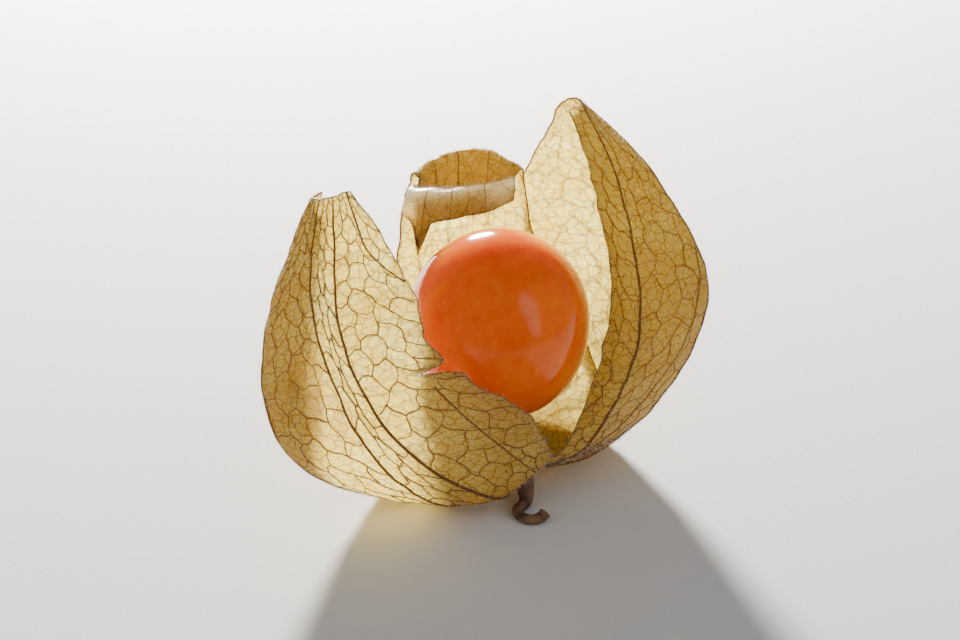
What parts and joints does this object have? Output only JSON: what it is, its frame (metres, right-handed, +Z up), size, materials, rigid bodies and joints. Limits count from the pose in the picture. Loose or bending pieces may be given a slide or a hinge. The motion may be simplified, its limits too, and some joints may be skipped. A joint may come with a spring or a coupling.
{
  "type": "physalis berry",
  "caption": "Ripe orange physalis berry on its short hooked stalk, cupped by its dry papery husk, which is torn open into flaps and lies on its side.",
  "frame": {"origin": "middle of the bounding box's base, on the surface that the husk lies on", "axes": "+Z up from the surface; +X to the right and +Y away from the side where the berry shows, which is -Y; the stalk lies towards -Y"},
  "size_m": [0.0454, 0.0346, 0.0337],
  "materials": {
    "husk_paper": "dry and papery, lets light through",
    "berry_skin": "smooth, glossy skin",
    "stalk_bark": "dry and dull"
  },
  "bodies": {
    "root": {"husk": "husk_paper", "berry": "berry_skin", "stalk": "stalk_bark"}
  },
  "joints": []
}
